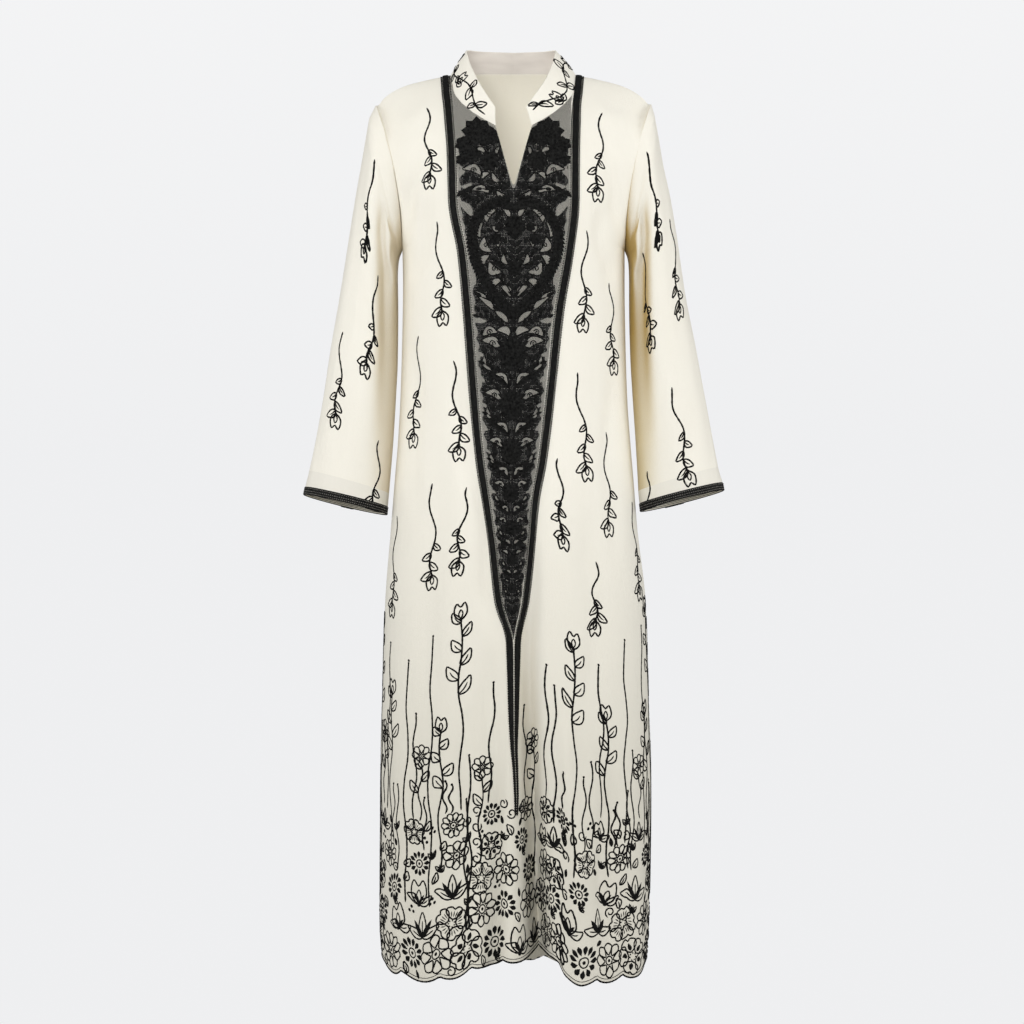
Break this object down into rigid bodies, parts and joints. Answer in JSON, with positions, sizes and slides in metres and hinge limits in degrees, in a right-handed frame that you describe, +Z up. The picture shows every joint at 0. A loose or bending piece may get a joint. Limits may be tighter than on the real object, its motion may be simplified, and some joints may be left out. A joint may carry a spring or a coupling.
{
  "type": "abaya",
  "caption": "Long hollow open-necked abaya in cream crepe with a stand collar, V slit, tapering black lace front panel, long sleeves with dark cuff bands and a scalloped hem.",
  "frame": {"origin": "on the wearer's shoulders, midway between the two points where the shoulder seams meet the collar", "axes": "+Z up along the garment's length, +X towards the right of someone facing the garment, -Y out of the front"},
  "size_m": [0.66, 0.3078, 1.4546],
  "materials": {
    "crepe": "soft matt cream crepe",
    "lace": "black embroidered net",
    "braid": "black stitched braid",
    "cord": "black embroidery cord"
  },
  "bodies": {
    "root": {"body_front": "crepe", "body_back": "crepe", "collar": "crepe", "sleeve_left": "crepe", "sleeve_right": "crepe", "lace_panel": "lace", "braid_left": "braid", "braid_right": "braid", "cuff_band_left": "braid", "cuff_band_right": "braid", "hem_cord_front": "cord", "hem_cord_back": "cord"}
  },
  "joints": []
}
